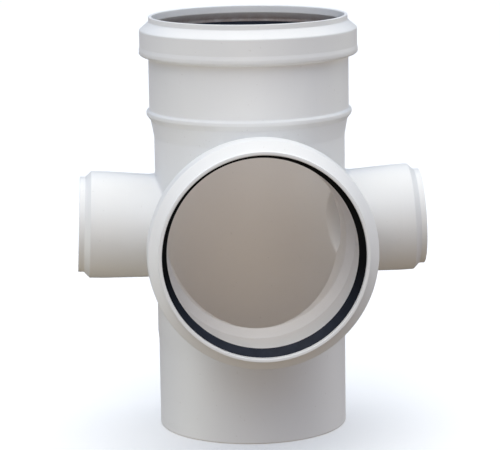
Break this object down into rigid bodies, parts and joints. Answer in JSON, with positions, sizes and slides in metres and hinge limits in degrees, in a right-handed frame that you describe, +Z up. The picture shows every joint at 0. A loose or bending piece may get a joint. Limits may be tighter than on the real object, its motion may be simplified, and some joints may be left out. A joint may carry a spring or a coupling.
{
  "type": "cross fitting",
  "caption": "Push-fit soil pipe cross: an upright run with a socket on top and a plain spigot below, a full-size branch socket in front and a small inlet socket on each side.",
  "frame": {"origin": "on the plane of the spigot's end face, under the middle of the part's bounding box in X and Y; the run's axis is the vertical line X = 0, Y = 27.8 mm", "axes": "+Z up the run, from the spigot to the top socket; -Y the side that the 110 mm branch faces; X through the two inlets, +X the right inlet as seen from the branch's side"},
  "size_m": [0.2036, 0.1824, 0.2415],
  "materials": {
    "white_polypropylene": "satin as moulded, cool white",
    "seal_rubber": "matt black-grey elastomer"
  },
  "bodies": {
    "root": {"fitting_body": "white_polypropylene", "run_socket_seal": "seal_rubber", "branch_socket_seal": "seal_rubber", "left_inlet_seal": "seal_rubber", "right_inlet_seal": "seal_rubber"}
  },
  "joints": []
}
